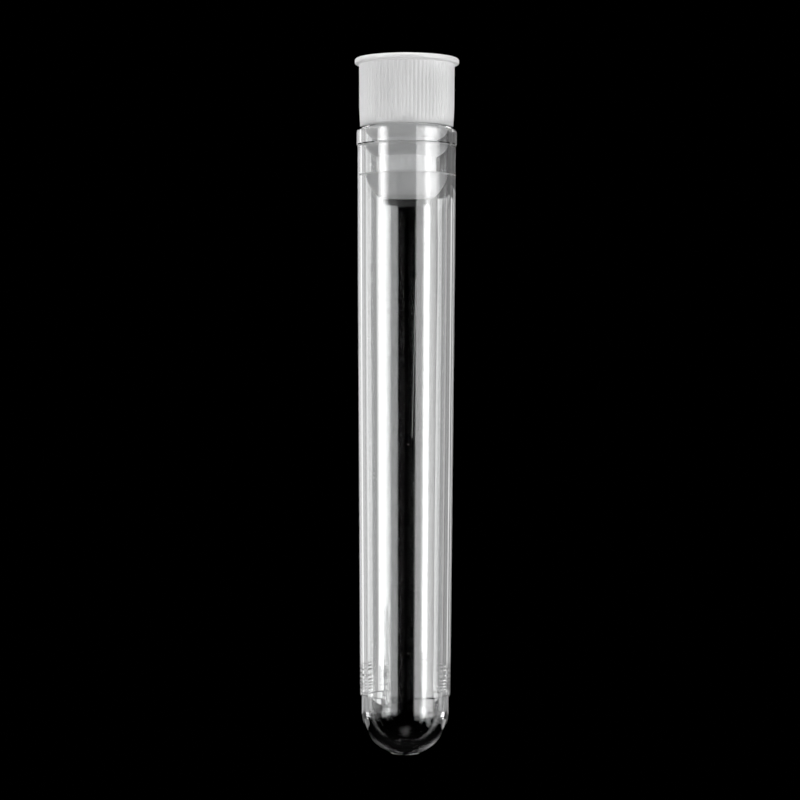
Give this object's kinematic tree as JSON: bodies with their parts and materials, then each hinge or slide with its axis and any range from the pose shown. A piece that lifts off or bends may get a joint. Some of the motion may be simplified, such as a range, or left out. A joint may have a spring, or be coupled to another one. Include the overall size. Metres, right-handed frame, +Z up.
{
  "type": "test tube",
  "caption": "Clear moulded test tube with a round bottom, a collar at the mouth and a white push-in stopper with a ribbed head and two barbed sealing rings.",
  "frame": {"origin": "centre of the small flat under the round bottom", "axes": "+Z up the tube's axis, towards the mouth and the stopper; X and Y are alike, because the tube is round"},
  "size_m": [0.0125, 0.0124, 0.0832],
  "materials": {
    "clear_plastic": "polished",
    "white_plastic": "satin"
  },
  "bodies": {
    "tube": {"tube": "clear_plastic"},
    "stopper": {"stopper": "white_plastic"}
  },
  "joints": [
    {"name": "stopper_pull", "type": "slide", "parent": "tube", "child": "stopper", "axis": [0, 0, 1], "range_m": [0, 0.025]}
  ]
}
